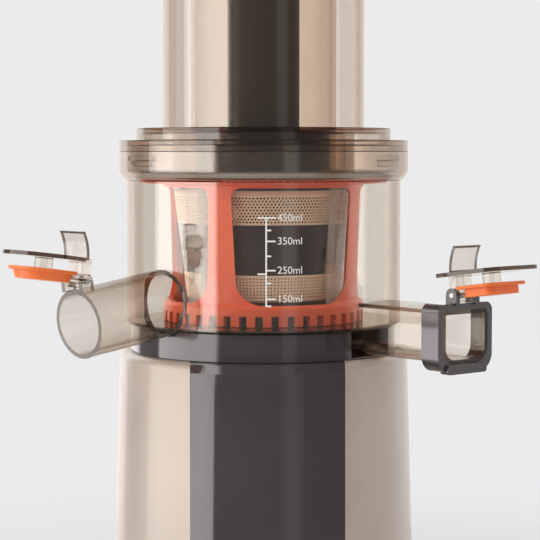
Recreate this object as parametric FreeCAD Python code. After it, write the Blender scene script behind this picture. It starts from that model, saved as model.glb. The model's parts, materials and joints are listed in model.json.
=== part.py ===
import FreeCAD, Part
import math
import os

# Vertical cold press juicer. Millimetres, +Z up, front is -Y.
# The origin lies on the auger axis, in the plane that the foot ring rests on.
# An azimuth is counted from the front: positive towards +X.

V = FreeCAD.Vector
UP = V(0, 0, 1)
ORIGIN = V(0, 0, 0)

# Named clearances
SLIP = 0.3
RUN = 0.06
SNUG = 0.15

# Motor base
FOOT_H = 4.0
FOOT_W = 16.0
FOOT_IN = 16.0
COVER_T = 3.0
BASE_FLARE = 5.7
SHOULDER_OUT = 5.8
BASE_WALL = 2.6
SHOULDER_Z = 199.5
SHOULDER_ROUND = 5.0
SHOULDER_LIP = 1.0
SPIGOT_W = 4.0
VENT_COUNT = 12
VENT_W = 3.0
VENT_L = 18.0
VENT_IN = 48.0

# Front panel
PANEL_HALF = 43.5
PANEL_T = 3.0
PANEL_PROUD = 0.5
PANEL_BOTTOM_Z = 18.0
PANEL_CORNER = 8.0
PANEL_STEP_H = 5.6
PANEL_STEP_IN = 2.2

# Deck that carries the bowl
CAP_INSET = 2.5
CAP_RING_W = 9.5
CAP_TOP_Z = 215.7
DECK_T = 3.0
DECK_DROP = 2.0
BOSS_R = 17.0
BOSS_TOP_Z = 210.0

# Drive
SHAFT_R = 8.0
SHAFT_BOTTOM_Z = 172.0
SHAFT_TOP_Z = 258.0
HEX_AF = 13.4
HEX_CLEAR = 0.3
BEARING_R = 13.0
BEARING_H = 8.0
SEAL_H = 3.0
GEARBOX_R = 58.0
GEARBOX_H = 62.0
MOTOR_R = 46.0
MOTOR_H = 88.0
BOARD = (64.0, 42.0, 1.6)
BOARD_STAND = 6.0
BOARD_POST_R = 3.0
BOARD_POST_IN = 5.0
RELAY = (16.0, 16.0, 12.0)
RELAY_AT = 16.0
CAPACITOR_R = 6.0
CAPACITOR_H = 14.0
CAPACITOR_AT = (-16.0, 4.0)

# Bowl
BOWL_R = 82.0
BOWL_WALL = 2.5
BOWL_FLOOR_T = 1.9
BOWL_RIM_Z = 318.0
COLLAR_OUT = 4.5
COLLAR_START_Z = 301.0
COLLAR_Z = 307.0
HUB_R = 14.0
HUB_BORE_R = 11.0
HUB_H = 8.4
SEAT_R = 45.0
SEAT_WALL = 2.6
SEAT_SPAN = 104.0
DRAIN_R = 7.0
DRAIN_FLANGE = 2.0
DRAIN_AZIMUTH = 160.0
DRAIN_EDGE = 1.0

# Juice spout
JUICE_AZIMUTH = -47.3
JUICE_TILT = 7.5
JUICE_R = 19.3
JUICE_WALL = 2.45
JUICE_MOUTH_REACH = 142.0
JUICE_MOUTH_Z = 223.6
JUICE_SINK = 24.0

# Pulp channel
PULP_AZIMUTH = 38.2
PULP_OFFSET = 17.3
PULP_W = 35.0
PULP_H = 29.5
PULP_BOTTOM_Z = 202.6
PULP_WALL = 2.3
PULP_REACH = 150.8
PULP_START = 24.0
PULP_DROP_FROM = 20.0
PULP_DROP_TO = 52.0
PULP_DROP_W = 26.0
PULP_ROUND_LOW = 9.0
PULP_ROUND_TOP = 3.0
COLLAR_FRAME_L = 12.8
COLLAR_FRAME_T = 3.6
COLLAR_FRAME_DROP = 4.4
LIP_T = 1.8

# Hinged caps
KNUCKLE_R = 4.0
KNUCKLE_L = 12.0
EAR_T = 2.8
PIN_R = 1.5
MOUTH_AHEAD = 2.2
PLATE_STANDOFF = 10.0
PLATE_T = 2.2
JUICE_PLATE_R = 22.7
PULP_PLATE_W = 43.0
PULP_PLATE_H = 42.0
CAP_OPEN_RISE = 8.2
TAB_W = 20.0
TAB_H = 14.5
TAB_LEAN = 5.0
PLUG_LIP_T = 1.8
PLUG_DEPTH = 4.5

# Gear train between auger, idlers and wiper
MODULE = 2.85
AUGER_TEETH = 16
IDLER_TEETH = 12
WIPER_TEETH = 40
GEAR_H = 6.0
AUGER_TOOTH = 4.8
IDLER_TOOTH = 3.0
ADDENDUM = 2.3
DEDENDUM = 2.9
WIPER_SLOT_W = 4.4
IDLER_ANGLE = -143.8
IDLER_PIN_R = 3.0

# Strainer
STRAINER_FLOOR_Z = 225.0
STRAINER_TOP_Z = 302.0
STRAINER_R_LOW = 45.2
STRAINER_R_TOP = 54.5
STRAINER_WALL = 2.2
STRAINER_FLOOR_T = 2.0
MESH_T = 0.9
LOWER_MESH_Z = (231.0, 246.6)
UPPER_MESH_Z = (275.7, 295.5)
MESH_SLOTS = 36
MESH_SLOT_W = 2.0
MESH_SLOT_MARGIN = 2.4
RIB_COUNT = 8
RIB_W = 3.0

# Wiper
WIPER_R_TOP = 60.0
WIPER_R_LOW = 57.2
WIPER_WALL = 2.6
WIPER_RING_R = 59.8
WIPER_RING_TOP_Z = 228.0
WIPER_FLARE_Z = 231.0
WIPER_FLANGE_GAP = 5.5
WIPER_FLANGE_T = 3.4
WINDOW_COUNT = 4
WINDOW_AZIMUTH = 18.2
WINDOW_Z = (229.8, 297.2)
WINDOW_HALF_TOP = 36.8
WINDOW_HALF_LOW = 34.0
WINDOW_ROUND_LOW = 15.0
WINDOW_ROUND_TOP = 5.0
BLADE_FROM = 21.5
BLADE_TO = 34.5
BLADE_T = 1.6

# Auger
AUGER_TOP_Z = 297.0
AUGER_NECK_R = 23.0
AUGER_CORE_R_LOW = 25.0
AUGER_CORE_R_TOP = 14.0
AUGER_NOSE_R = 8.0
FLIGHT_PITCH = 66.0
FLIGHT_T = 5.0
FLIGHT_COUNT = 2
FLIGHT_GAP = 0.8
FLIGHT_START_Z = 228.5

# Lid and chute
LID_FLANGE_H = 6.6
LID_STEP_IN = 10.2
LID_DISC_H = 7.2
LID_T = 2.8
SKIRT_GAP = 0.8
SKIRT_WALL = 2.6
SKIRT_DEPTH = 12.0
LEDGE_REACH = 2.0
LEDGE_T = 2.5
LEDGE_TOP_DROP = 2.5
LEDGE_HALF = 12.0
LUG_HALF = 8.0
LUG_COUNT = 3
LUG_GAP = 0.4
LID_SEAL_H = 3.0
LID_SEAL_W = 3.0
HOLDER_GAP = 6.0
CHUTE_R = 60.0
CHUTE_WALL = 2.5
CHUTE_TOP_Z = 452.0
CHUTE_RIM_T = 3.0
TUBE_R_IN = 41.0
TUBE_WALL = 2.5

# Pusher
PUSHER_STEM_R = 21.5
PUSHER_STEM_WALL = 2.5
PUSHER_FOOT_R = 40.2
PUSHER_FOOT_GAP = 9.0
PUSHER_FOOT_H = 24.0
PUSHER_FOOT_T = 3.0
PUSHER_CAP_R = 50.0
PUSHER_CAP_H = 14.0
PUSHER_CAP_ROUND = 4.0

# Rear switch and cord gland
SWITCH_Z = 130.0
SWITCH_W = 24.0
SWITCH_H = 34.0
BEZEL_T = 7.0
BEZEL_PROUD = 2.6
BEZEL_FRAME = 3.0
ROCKER_GAP = 0.5
ROCKER_PROUD = 2.4
ROCKER_PIN_R = 1.5
GLAND_Z = 30.0
GLAND_R = 7.0
GLAND_BORE_R = 3.6
GLAND_OUT = 14.0

# Fasteners
SCREW_R = 2.0
SCREW_HEAD_R = 3.8
SCREW_HEAD_H = 2.0
COVER_SCREW_IN = 8.5
COVER_SCREW_COUNT = 4
COVER_BOSS_R = 6.5
COVER_BOSS_H = 22.0
GEARBOX_SCREW_R = 48.0
GEARBOX_SCREW_COUNT = 4

# Worked out from the sizes above
BASE_BOTTOM_Z = FOOT_H
DECK_TOP_Z = PULP_BOTTOM_Z - DECK_DROP
DECK_BOTTOM_Z = DECK_TOP_Z - DECK_T
BOWL_IN_R = BOWL_R - BOWL_WALL
CAP_R = BOWL_R - CAP_INSET
CAP_RING_IN = CAP_R - CAP_RING_W
SHOULDER_R = CAP_R + SHOULDER_LIP
SHOULDER_OPEN_R = CAP_RING_IN + SPIGOT_W
BASE_R_TOP = SHOULDER_R + SHOULDER_OUT
BASE_R_BOTTOM = BASE_R_TOP + BASE_FLARE
COVER_SCREW_R = BASE_R_BOTTOM - COVER_SCREW_IN
VENT_R = BASE_R_BOTTOM - VENT_IN
FOOT_R_OUT = BASE_R_BOTTOM - FOOT_IN
FOOT_R_IN = FOOT_R_OUT - FOOT_W
COLLAR_R = BOWL_R + COLLAR_OUT
COLLAR_IN_R = COLLAR_R - BOWL_WALL
DRAIN_REACH = CAP_RING_IN - DRAIN_R - DRAIN_FLANGE - DRAIN_EDGE
FLOOR_Z = CAP_TOP_Z + BOWL_FLOOR_T
GEAR_Z = FLOOR_Z + SLIP
HEX_START_Z = FLOOR_Z + HUB_H - 1.0
AUGER_PITCH_R = MODULE * AUGER_TEETH / 2
IDLER_PITCH_R = MODULE * IDLER_TEETH / 2
IDLER_CENTRE_R = AUGER_PITCH_R + IDLER_PITCH_R
WIPER_PITCH_R = AUGER_PITCH_R + 2 * IDLER_PITCH_R
WIPER_TOP_Z = STRAINER_TOP_Z
WIPER_FLANGE_R = BOWL_IN_R - WIPER_FLANGE_GAP
LID_FLANGE_R = COLLAR_R - SLIP
LID_DISC_R = LID_FLANGE_R - LID_STEP_IN
SKIRT_R = COLLAR_IN_R - LEDGE_REACH - SKIRT_GAP
PUSHER_FOOT_Z = AUGER_TOP_Z + PUSHER_FOOT_GAP
LID_TOP_Z = BOWL_RIM_Z + LID_FLANGE_H + LID_DISC_H
TUBE_R = TUBE_R_IN + TUBE_WALL
TUBE_BOTTOM_Z = STRAINER_TOP_Z + SLIP
SPOUT_ROOT = JUICE_MOUTH_REACH - BOWL_R + 20.0
JUICE_HINGE_REACH = (JUICE_MOUTH_REACH - MOUTH_AHEAD * math.cos(math.radians(JUICE_TILT))
                     + JUICE_SINK * math.sin(math.radians(JUICE_TILT)))
JUICE_HINGE_Z = (JUICE_MOUTH_Z + MOUTH_AHEAD * math.sin(math.radians(JUICE_TILT))
                 + JUICE_SINK * math.cos(math.radians(JUICE_TILT)))
PULP_TOP_Z = PULP_BOTTOM_Z + PULP_H
PULP_MID_Z = PULP_BOTTOM_Z + PULP_H / 2
FRAME_TOP_Z = PULP_TOP_Z + COLLAR_FRAME_T
PULP_HINGE_Z = FRAME_TOP_Z + KNUCKLE_R + SLIP
PULP_HINGE_REACH = PULP_REACH - MOUTH_AHEAD
PULP_SINK = PULP_HINGE_Z - PULP_MID_Z
JUICE_OPEN_ANGLE = 90.0 + CAP_OPEN_RISE + JUICE_TILT
PULP_OPEN_ANGLE = 90.0 + CAP_OPEN_RISE


# Shape helpers

def cylinder(radius, z_low, z_high):
    return Part.makeCylinder(radius, z_high - z_low, V(0, 0, z_low))


def ring(r_in, r_out, z_low, z_high):
    return cylinder(r_out, z_low, z_high).cut(cylinder(r_in, z_low - 1, z_high + 1))


def box(x_low, x_high, y_low, y_high, z_low, z_high):
    return Part.makeBox(x_high - x_low, y_high - y_low, z_high - z_low, V(x_low, y_low, z_low))


def flat_face(points):
    corners = [V(*point) for point in points]
    return Part.Face(Part.makePolygon(corners + corners[:1]))


def revolved(points):
    return flat_face([(r, 0, z) for r, z in points]).revolve(ORIGIN, UP, 360)


def joined(first, *others):
    result = first.fuse(list(others)) if others else first
    return result.removeSplitter()


def turned(shape, degrees):
    copy = shape.copy()
    copy.rotate(ORIGIN, UP, degrees)
    return copy


def around(shape, count, start=0.0):
    return [turned(shape, start + 360.0 * step / count) for step in range(count)]


def to_azimuth(shape, azimuth):
    return turned(shape, azimuth - 90.0)


def moved(shape, x, y, z):
    copy = shape.copy()
    copy.translate(V(x, y, z))
    return copy


def across(radius, length):
    """A cylinder along Y, centred on the origin."""
    return Part.makeCylinder(radius, length, V(0, -length / 2, 0), V(0, 1, 0))


def rounded_outline(width, height, r_low, r_top, x):
    """A wire in the plane X = x, centred on Y, from Z = 0 up, with round corners."""
    half = width / 2
    corner_low = r_low * (1 - math.sqrt(0.5))
    corner_top = r_top * (1 - math.sqrt(0.5))
    edges = [
        Part.makeLine(V(x, -half + r_low, 0), V(x, half - r_low, 0)),
        Part.Arc(V(x, half - r_low, 0), V(x, half - corner_low, corner_low), V(x, half, r_low)).toShape(),
        Part.makeLine(V(x, half, r_low), V(x, half, height - r_top)),
        Part.Arc(V(x, half, height - r_top), V(x, half - corner_top, height - corner_top),
                 V(x, half - r_top, height)).toShape(),
        Part.makeLine(V(x, half - r_top, height), V(x, -half + r_top, height)),
        Part.Arc(V(x, -half + r_top, height), V(x, -half + corner_top, height - corner_top),
                 V(x, -half, height - r_top)).toShape(),
        Part.makeLine(V(x, -half, height - r_top), V(x, -half, r_low)),
        Part.Arc(V(x, -half, r_low), V(x, -half + corner_low, corner_low),
                 V(x, -half + r_low, 0)).toShape(),
    ]
    return Part.Wire(edges)


def rounded_bar(x_low, x_high, width, height, r_low, r_top):
    face = Part.Face(rounded_outline(width, height, r_low, r_top, x_low))
    return face.extrude(V(x_high - x_low, 0, 0))


def hexagon(across_flats, z_low, z_high):
    radius = across_flats / math.sqrt(3)
    corners = [(radius * math.cos(math.radians(60 * k)), radius * math.sin(math.radians(60 * k)), z_low)
               for k in range(6)]
    return flat_face(corners).extrude(V(0, 0, z_high - z_low))


# Motor base

def base_radius(z):
    share = (z - BASE_BOTTOM_Z) / (SHOULDER_Z - BASE_BOTTOM_Z)
    return BASE_R_BOTTOM + share * (BASE_R_TOP - BASE_R_BOTTOM)


def base_outline(inset):
    """Half section of the shell's outside, moved inwards by inset."""
    side_z = SHOULDER_Z - SHOULDER_ROUND
    side_r = base_radius(side_z) - inset
    top_z = SHOULDER_Z - inset
    low = V(BASE_R_BOTTOM - inset, 0, BASE_BOTTOM_Z)
    side = V(side_r, 0, side_z - inset)
    middle = V(side_r - (side_r + inset - SHOULDER_R) * 0.22, 0, top_z - SHOULDER_ROUND * 0.30)
    shoulder = V(SHOULDER_R - inset, 0, top_z)
    edges = [
        Part.makeLine(low, side),
        Part.Arc(side, middle, shoulder).toShape(),
        Part.makeLine(shoulder, V(0, 0, top_z)),
        Part.makeLine(V(0, 0, top_z), V(0, 0, BASE_BOTTOM_Z)),
        Part.makeLine(V(0, 0, BASE_BOTTOM_Z), low),
    ]
    return Part.Face(Part.Wire(edges)).revolve(ORIGIN, UP, 360)


def panel_prism(grow):
    """Front window of the shell as a bar along Y, with rounded lower corners."""
    height = SHOULDER_Z - PANEL_BOTTOM_Z + 20
    bar = rounded_bar(SHOULDER_OPEN_R - 14, BASE_R_BOTTOM + 18, 2 * (PANEL_HALF + grow), height + grow,
                      PANEL_CORNER + grow, 0.5)
    return to_azimuth(moved(bar, 0, 0, PANEL_BOTTOM_Z - grow), 0)


def cover_bosses():
    boss = moved(cylinder(COVER_BOSS_R, 0, COVER_BOSS_H), COVER_SCREW_R, 0, BASE_BOTTOM_Z + COVER_T)
    hole = moved(cylinder(SCREW_R, -1, COVER_BOSS_H - 4), COVER_SCREW_R, 0, BASE_BOTTOM_Z + COVER_T)
    return around(boss.cut(hole), COVER_SCREW_COUNT, 45)


def base_housing():
    shell = base_outline(0).cut(base_outline(BASE_WALL))
    shell = shell.cut(cylinder(SHOULDER_OPEN_R, SHOULDER_Z - 20, SHOULDER_Z + 5))
    inside = base_outline(0)
    bosses = [boss.common(inside) for boss in cover_bosses()]
    shell = joined(shell, *bosses)
    shell = shell.cut(panel_prism(SNUG))
    shell = shell.cut(switch_block(SNUG))
    return shell.cut(gland_hole())


def front_panel():
    """Curved dark panel, a little proud of the shell, with a sloped step at its top."""
    outer = base_outline(-PANEL_PROUD)
    skin = outer.cut(base_outline(PANEL_T)).common(panel_prism(0))
    skin = skin.common(cylinder(200, 0, SHOULDER_Z))
    skin = skin.cut(cylinder(SHOULDER_OPEN_R, DECK_BOTTOM_Z - 20, SHOULDER_Z + 1))
    step_z = SHOULDER_Z - PANEL_STEP_H
    step_r = base_radius(step_z) + PANEL_PROUD
    slope = revolved([(step_r + 0.01, step_z), (120, step_z), (120, SHOULDER_Z + 5),
                      (step_r - PANEL_STEP_IN, SHOULDER_Z + 5), (step_r - PANEL_STEP_IN, SHOULDER_Z - 1)])
    return skin.cut(slope)


def base_top_cap():
    """Ring and deck that the bowl stands on, with the boss of the drive shaft."""
    ring_wall = ring(CAP_RING_IN, CAP_R, SHOULDER_Z, CAP_TOP_Z)
    spigot = ring(CAP_RING_IN, SHOULDER_OPEN_R - SLIP, DECK_BOTTOM_Z, SHOULDER_Z)
    deck = ring(SHAFT_R + 2, CAP_RING_IN, DECK_BOTTOM_Z, DECK_TOP_Z)
    boss = ring(BEARING_R, BOSS_R, DECK_BOTTOM_Z, BOSS_TOP_Z)
    deck = deck.cut(cylinder(BEARING_R, DECK_BOTTOM_Z - 1, DECK_TOP_Z + 1))
    cap = joined(ring_wall, spigot, deck, boss)
    notch = box(CAP_RING_IN - 12, CAP_R + 5, PULP_OFFSET - PULP_W / 2 - 1, PULP_OFFSET + PULP_W / 2 + 1,
                DECK_TOP_Z, CAP_TOP_Z + 1)
    cap = cap.cut(to_azimuth(notch, PULP_AZIMUTH))
    return cap.cut(joined(*gearbox_screw_shapes(hole=True)))


def bottom_cover():
    radius = BASE_R_BOTTOM - BASE_WALL - SLIP
    plate = cylinder(radius, BASE_BOTTOM_Z, BASE_BOTTOM_Z + COVER_T)
    stand = cylinder(BOARD_POST_R, BASE_BOTTOM_Z, BASE_BOTTOM_Z + COVER_T + BOARD_STAND)
    stands = [moved(stand, x * (BOARD[0] / 2 - BOARD_POST_IN), y * (BOARD[1] / 2 - BOARD_POST_IN), 0)
              for x in (-1, 1) for y in (-1, 1)]
    plate = joined(plate, *stands)
    vent = moved(box(-VENT_L / 2, VENT_L / 2, -VENT_W / 2, VENT_W / 2, 0, 20), VENT_R, 0, 0)
    for cut in around(vent, VENT_COUNT, 15):
        plate = plate.cut(cut)
    hole = moved(cylinder(SCREW_R, 0, 20), COVER_SCREW_R, 0, 0)
    for cut in around(hole, COVER_SCREW_COUNT, 45):
        plate = plate.cut(cut)
    return plate


def foot_ring():
    return ring(FOOT_R_IN, FOOT_R_OUT, 0, FOOT_H)


def screw(length):
    """A pan-head screw that points up, its head's seat at Z = 0."""
    return joined(cylinder(SCREW_HEAD_R, -SCREW_HEAD_H, 0), cylinder(SCREW_R, 0, length))


def cover_screws():
    one = moved(screw(COVER_T + 12), COVER_SCREW_R, 0, BASE_BOTTOM_Z)
    return Part.makeCompound(around(one, COVER_SCREW_COUNT, 45))


def gearbox_screw_shapes(hole=False):
    length = DECK_T + 10
    one = screw(length)
    if hole:
        one = cylinder(SCREW_R, -1, length)
    one = one.copy()
    one.rotate(ORIGIN, V(1, 0, 0), 180)
    return around(moved(one, GEARBOX_SCREW_R, 0, DECK_TOP_Z), GEARBOX_SCREW_COUNT, 45)


def gearbox_case():
    top = DECK_BOTTOM_Z
    case = cylinder(GEARBOX_R, top - GEARBOX_H, top)
    case = case.cut(cylinder(SHAFT_R + RUN, SHAFT_BOTTOM_Z, top + 1))
    return case.cut(joined(*gearbox_screw_shapes(hole=True)))


def motor():
    top = DECK_BOTTOM_Z - GEARBOX_H
    can = cylinder(MOTOR_R, top - MOTOR_H, top)
    tail = cylinder(MOTOR_R * 0.35, top - MOTOR_H - 8, top - MOTOR_H)
    return joined(can, tail)


def control_board():
    low = BASE_BOTTOM_Z + COVER_T + BOARD_STAND
    board = box(-BOARD[0] / 2, BOARD[0] / 2, -BOARD[1] / 2, BOARD[1] / 2, low, low + BOARD[2])
    top = low + BOARD[2]
    relay = box(RELAY_AT - RELAY[0] / 2, RELAY_AT + RELAY[0] / 2, -RELAY[1] / 2, RELAY[1] / 2, top, top + RELAY[2])
    capacitor = moved(cylinder(CAPACITOR_R, 0, CAPACITOR_H), CAPACITOR_AT[0], CAPACITOR_AT[1], top)
    return joined(board, relay, capacitor)


def shaft_bearing():
    low = DECK_BOTTOM_Z + 0.5
    return ring(SHAFT_R + RUN, BEARING_R, low, low + BEARING_H)


def shaft_seal():
    return ring(SHAFT_R + RUN, BEARING_R, BOSS_TOP_Z - SEAL_H, BOSS_TOP_Z)


def drive_shaft():
    round_part = cylinder(SHAFT_R, SHAFT_BOTTOM_Z, HEX_START_Z)
    return joined(round_part, hexagon(HEX_AF, HEX_START_Z, SHAFT_TOP_Z))


# Rear switch and gland

def switch_block(grow):
    y_face = base_radius(SWITCH_Z) + BEZEL_PROUD
    return box(-SWITCH_W / 2 - grow, SWITCH_W / 2 + grow, y_face - BEZEL_T - 12, y_face + grow,
               SWITCH_Z - SWITCH_H / 2 - grow, SWITCH_Z + SWITCH_H / 2 + grow)


def rocker_axis_y():
    return base_radius(SWITCH_Z) + BEZEL_PROUD - BEZEL_T / 2


def switch_bezel():
    y_face = base_radius(SWITCH_Z) + BEZEL_PROUD
    body = box(-SWITCH_W / 2, SWITCH_W / 2, y_face - BEZEL_T - 12, y_face,
               SWITCH_Z - SWITCH_H / 2, SWITCH_Z + SWITCH_H / 2)
    pocket = box(-SWITCH_W / 2 + BEZEL_FRAME, SWITCH_W / 2 - BEZEL_FRAME, y_face - BEZEL_T - 6, y_face + 1,
                 SWITCH_Z - SWITCH_H / 2 + BEZEL_FRAME, SWITCH_Z + SWITCH_H / 2 - BEZEL_FRAME)
    pin_hole = Part.makeCylinder(ROCKER_PIN_R + RUN, SWITCH_W + 2,
                                 V(-SWITCH_W / 2 - 1, rocker_axis_y(), SWITCH_Z), V(1, 0, 0))
    return body.cut(pocket).cut(pin_hole)


def switch_rocker():
    """Rocker with a shallow V face and its own stub axle."""
    half_w = SWITCH_W / 2 - BEZEL_FRAME - ROCKER_GAP
    half_h = SWITCH_H / 2 - BEZEL_FRAME - ROCKER_GAP - 1.5
    y_axis = rocker_axis_y()
    y_mid = y_axis + BEZEL_T / 2
    y_end = y_mid + ROCKER_PROUD
    y_back = y_axis - 3
    side = [(-half_w, y_back, SWITCH_Z - half_h + 3), (-half_w, y_mid - 1, SWITCH_Z - half_h),
            (-half_w, y_end, SWITCH_Z - half_h + 0.6), (-half_w, y_mid, SWITCH_Z),
            (-half_w, y_end, SWITCH_Z + half_h - 0.6), (-half_w, y_mid - 1, SWITCH_Z + half_h),
            (-half_w, y_back, SWITCH_Z + half_h - 3)]
    body = flat_face(side).extrude(V(2 * half_w, 0, 0))
    axle = Part.makeCylinder(ROCKER_PIN_R, SWITCH_W - 1, V(-SWITCH_W / 2 + 0.5, y_axis, SWITCH_Z), V(1, 0, 0))
    return joined(body, axle)


def gland_hole():
    return Part.makeCylinder(GLAND_R, 30, V(0, 75, GLAND_Z), V(0, 1, 0))


def cord_gland():
    """Tapered rubber gland with a flange on each side of the wall."""
    wall_out = base_radius(GLAND_Z)
    sleeve = Part.makeCylinder(GLAND_R, BASE_WALL + 8, V(0, wall_out - BASE_WALL - 4, GLAND_Z), V(0, 1, 0))
    inner = Part.makeCylinder(GLAND_R + 2.5, 3, V(0, wall_out - BASE_WALL - 4.4, GLAND_Z), V(0, 1, 0))
    cone = Part.makeCone(GLAND_R + 1.5, GLAND_BORE_R + 1.2, GLAND_OUT, V(0, wall_out + 2 * SLIP, GLAND_Z),
                         V(0, 1, 0))
    bore = Part.makeCylinder(GLAND_BORE_R, 60, V(0, wall_out - 30, GLAND_Z), V(0, 1, 0))
    return joined(sleeve, inner, cone).cut(bore)


# Bowl

def bowl_shell():
    """Turned section of the wall and its flared collar."""
    arc_out = V(BOWL_R + (COLLAR_R - BOWL_R) * 0.62, 0, COLLAR_START_Z + (COLLAR_Z - COLLAR_START_Z) * 0.42)
    arc_in = V(BOWL_IN_R + (COLLAR_IN_R - BOWL_IN_R) * 0.62, 0,
               COLLAR_START_Z + 1 + (COLLAR_Z - COLLAR_START_Z) * 0.42)
    corners = [V(BOWL_IN_R, 0, CAP_TOP_Z), V(BOWL_R - 1, 0, CAP_TOP_Z), V(BOWL_R, 0, CAP_TOP_Z + 1),
               V(BOWL_R, 0, COLLAR_START_Z)]
    edges = [Part.makeLine(a, b) for a, b in zip(corners, corners[1:])]
    edges.append(Part.Arc(corners[-1], arc_out, V(COLLAR_R, 0, COLLAR_Z)).toShape())
    rim = [V(COLLAR_R, 0, COLLAR_Z), V(COLLAR_R, 0, BOWL_RIM_Z), V(COLLAR_IN_R, 0, BOWL_RIM_Z),
           V(COLLAR_IN_R, 0, COLLAR_Z + 1)]
    edges += [Part.makeLine(a, b) for a, b in zip(rim, rim[1:])]
    edges.append(Part.Arc(rim[-1], arc_in, V(BOWL_IN_R, 0, COLLAR_START_Z + 1)).toShape())
    edges.append(Part.makeLine(V(BOWL_IN_R, 0, COLLAR_START_Z + 1), corners[0]))
    return Part.Face(Part.Wire(edges)).revolve(ORIGIN, UP, 360)


def along_spout(radius, start, end):
    """A cylinder on the juice spout's tilted axis, from start to end before the mouth."""
    tube = Part.makeCylinder(radius, end - start, V(start, 0, 0), V(1, 0, 0))
    tube.rotate(ORIGIN, V(0, 1, 0), JUICE_TILT)
    return to_azimuth(moved(tube, JUICE_MOUTH_REACH, 0, JUICE_MOUTH_Z), JUICE_AZIMUTH)


def hinge_ears(depth):
    """Two ears beside a cap's knuckle, on a local hinge at the origin."""
    gap = KNUCKLE_L + 2 * SLIP
    width = gap + 2 * EAR_T
    ears = joined(across(KNUCKLE_R, width), box(-KNUCKLE_R, KNUCKLE_R, -width / 2, width / 2, -depth, 0))
    ears = ears.cut(box(-30, 30, -gap / 2, gap / 2, -depth - 1, 30))
    return ears.cut(across(PIN_R, width + 2))


def at_juice_hinge(shape):
    copy = shape.copy()
    copy.rotate(ORIGIN, V(0, 1, 0), JUICE_TILT)
    return to_azimuth(moved(copy, JUICE_HINGE_REACH, 0, JUICE_HINGE_Z), JUICE_AZIMUTH)


def at_pulp_hinge(shape):
    return to_azimuth(moved(shape, PULP_HINGE_REACH, PULP_OFFSET, PULP_HINGE_Z), PULP_AZIMUTH)


def pulp_channel_bar(inset, x_low, x_high):
    """The channel's outside, or its bore when inset by the wall."""
    bar = rounded_bar(x_low, x_high, PULP_W - 2 * inset, PULP_H - 2 * inset,
                      max(PULP_ROUND_LOW - inset, 1), max(PULP_ROUND_TOP - inset, 0.6))
    return to_azimuth(moved(bar, 0, PULP_OFFSET, PULP_BOTTOM_Z + inset), PULP_AZIMUTH)


def pulp_drop():
    """Hole that lets the pulp fall through strainer floor and bowl floor."""
    hole = box(PULP_DROP_FROM, PULP_DROP_TO, PULP_OFFSET - PULP_DROP_W / 2, PULP_OFFSET + PULP_DROP_W / 2,
               FLOOR_Z - 12, STRAINER_FLOOR_Z + 12)
    hole = to_azimuth(hole, PULP_AZIMUTH)
    hole = hole.common(cylinder(SEAT_R - SEAT_WALL - 0.4, FLOOR_Z - 20, STRAINER_FLOOR_Z + 20))
    return hole.cut(cylinder(AUGER_PITCH_R + ADDENDUM + 2.4, FLOOR_Z - 20, STRAINER_FLOOR_Z + 20))


def strainer_seats():
    """Two floor walls between the idlers that carry the strainer."""
    wall = ring(SEAT_R - SEAT_WALL, SEAT_R, FLOOR_Z - BOWL_FLOOR_T / 2, STRAINER_FLOOR_Z)
    reach = SEAT_R * 2
    half = math.radians(SEAT_SPAN / 2)
    wedge = flat_face([(0, 0, FLOOR_Z - 1), (reach * math.cos(half), -reach * math.sin(half), FLOOR_Z - 1),
                       (reach * math.cos(half), reach * math.sin(half), FLOOR_Z - 1)])
    wedge = wedge.extrude(V(0, 0, 30))
    return [wall.common(turned(wedge, IDLER_ANGLE + side)) for side in (90, 270)]


def bayonet_ledges():
    z_top = BOWL_RIM_Z - LEDGE_TOP_DROP
    ledge = ring(COLLAR_IN_R - LEDGE_REACH, COLLAR_IN_R + 0.5, z_top - LEDGE_T, z_top)
    return sectors(ledge, LEDGE_HALF, LUG_COUNT)


def sectors(shape, half_angle, count):
    """Equal wedges of a ring-shaped solid, set round the axis."""
    reach = 200.0
    half = math.radians(half_angle)
    wedge = flat_face([(0, 0, 0), (reach, -reach * math.tan(half), 0), (reach, reach * math.tan(half), 0)])
    wedge = wedge.extrude(V(0, 0, 500))
    return [shape.common(piece) for piece in around(wedge, count, 90)]


def idler_spots():
    return [(IDLER_CENTRE_R * math.cos(math.radians(IDLER_ANGLE + side)),
             IDLER_CENTRE_R * math.sin(math.radians(IDLER_ANGLE + side))) for side in (0, 180)]


def spout_bore():
    return along_spout(JUICE_R - JUICE_WALL, -SPOUT_ROOT, 5)


def bowl_body():
    """Everything inside the bowl's outer wall, from its underside up."""
    return cylinder(BOWL_R, CAP_TOP_Z, COLLAR_START_Z)


def juicing_bowl():
    """Wall and collar, with the juice hole and the ledges of the lid's bayonet."""
    hole = spout_bore().cut(cylinder(BOWL_R * 2, 0, FLOOR_Z))
    return joined(bowl_shell(), *bayonet_ledges()).cut(hole)


def juice_spout():
    """Tilted spout that meets the wall in a saddle, with the ears of its cap."""
    tube = along_spout(JUICE_R, -SPOUT_ROOT - 10, 0).cut(cylinder(BOWL_R, 0, COLLAR_START_Z))
    ears = at_juice_hinge(hinge_ears(JUICE_SINK - JUICE_R + 1.5))
    return joined(tube, ears).cut(spout_bore())


def pulp_channel():
    """Square channel outside the wall and the trough below the floor that feeds it."""
    bar = pulp_channel_bar(0, PULP_START, PULP_REACH).cut(bowl_body())
    bore = pulp_channel_bar(PULP_WALL, PULP_START + PULP_WALL, PULP_REACH + 5)
    return bar.cut(bore.cut(bowl_body())).cut(pulp_drop())


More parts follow.
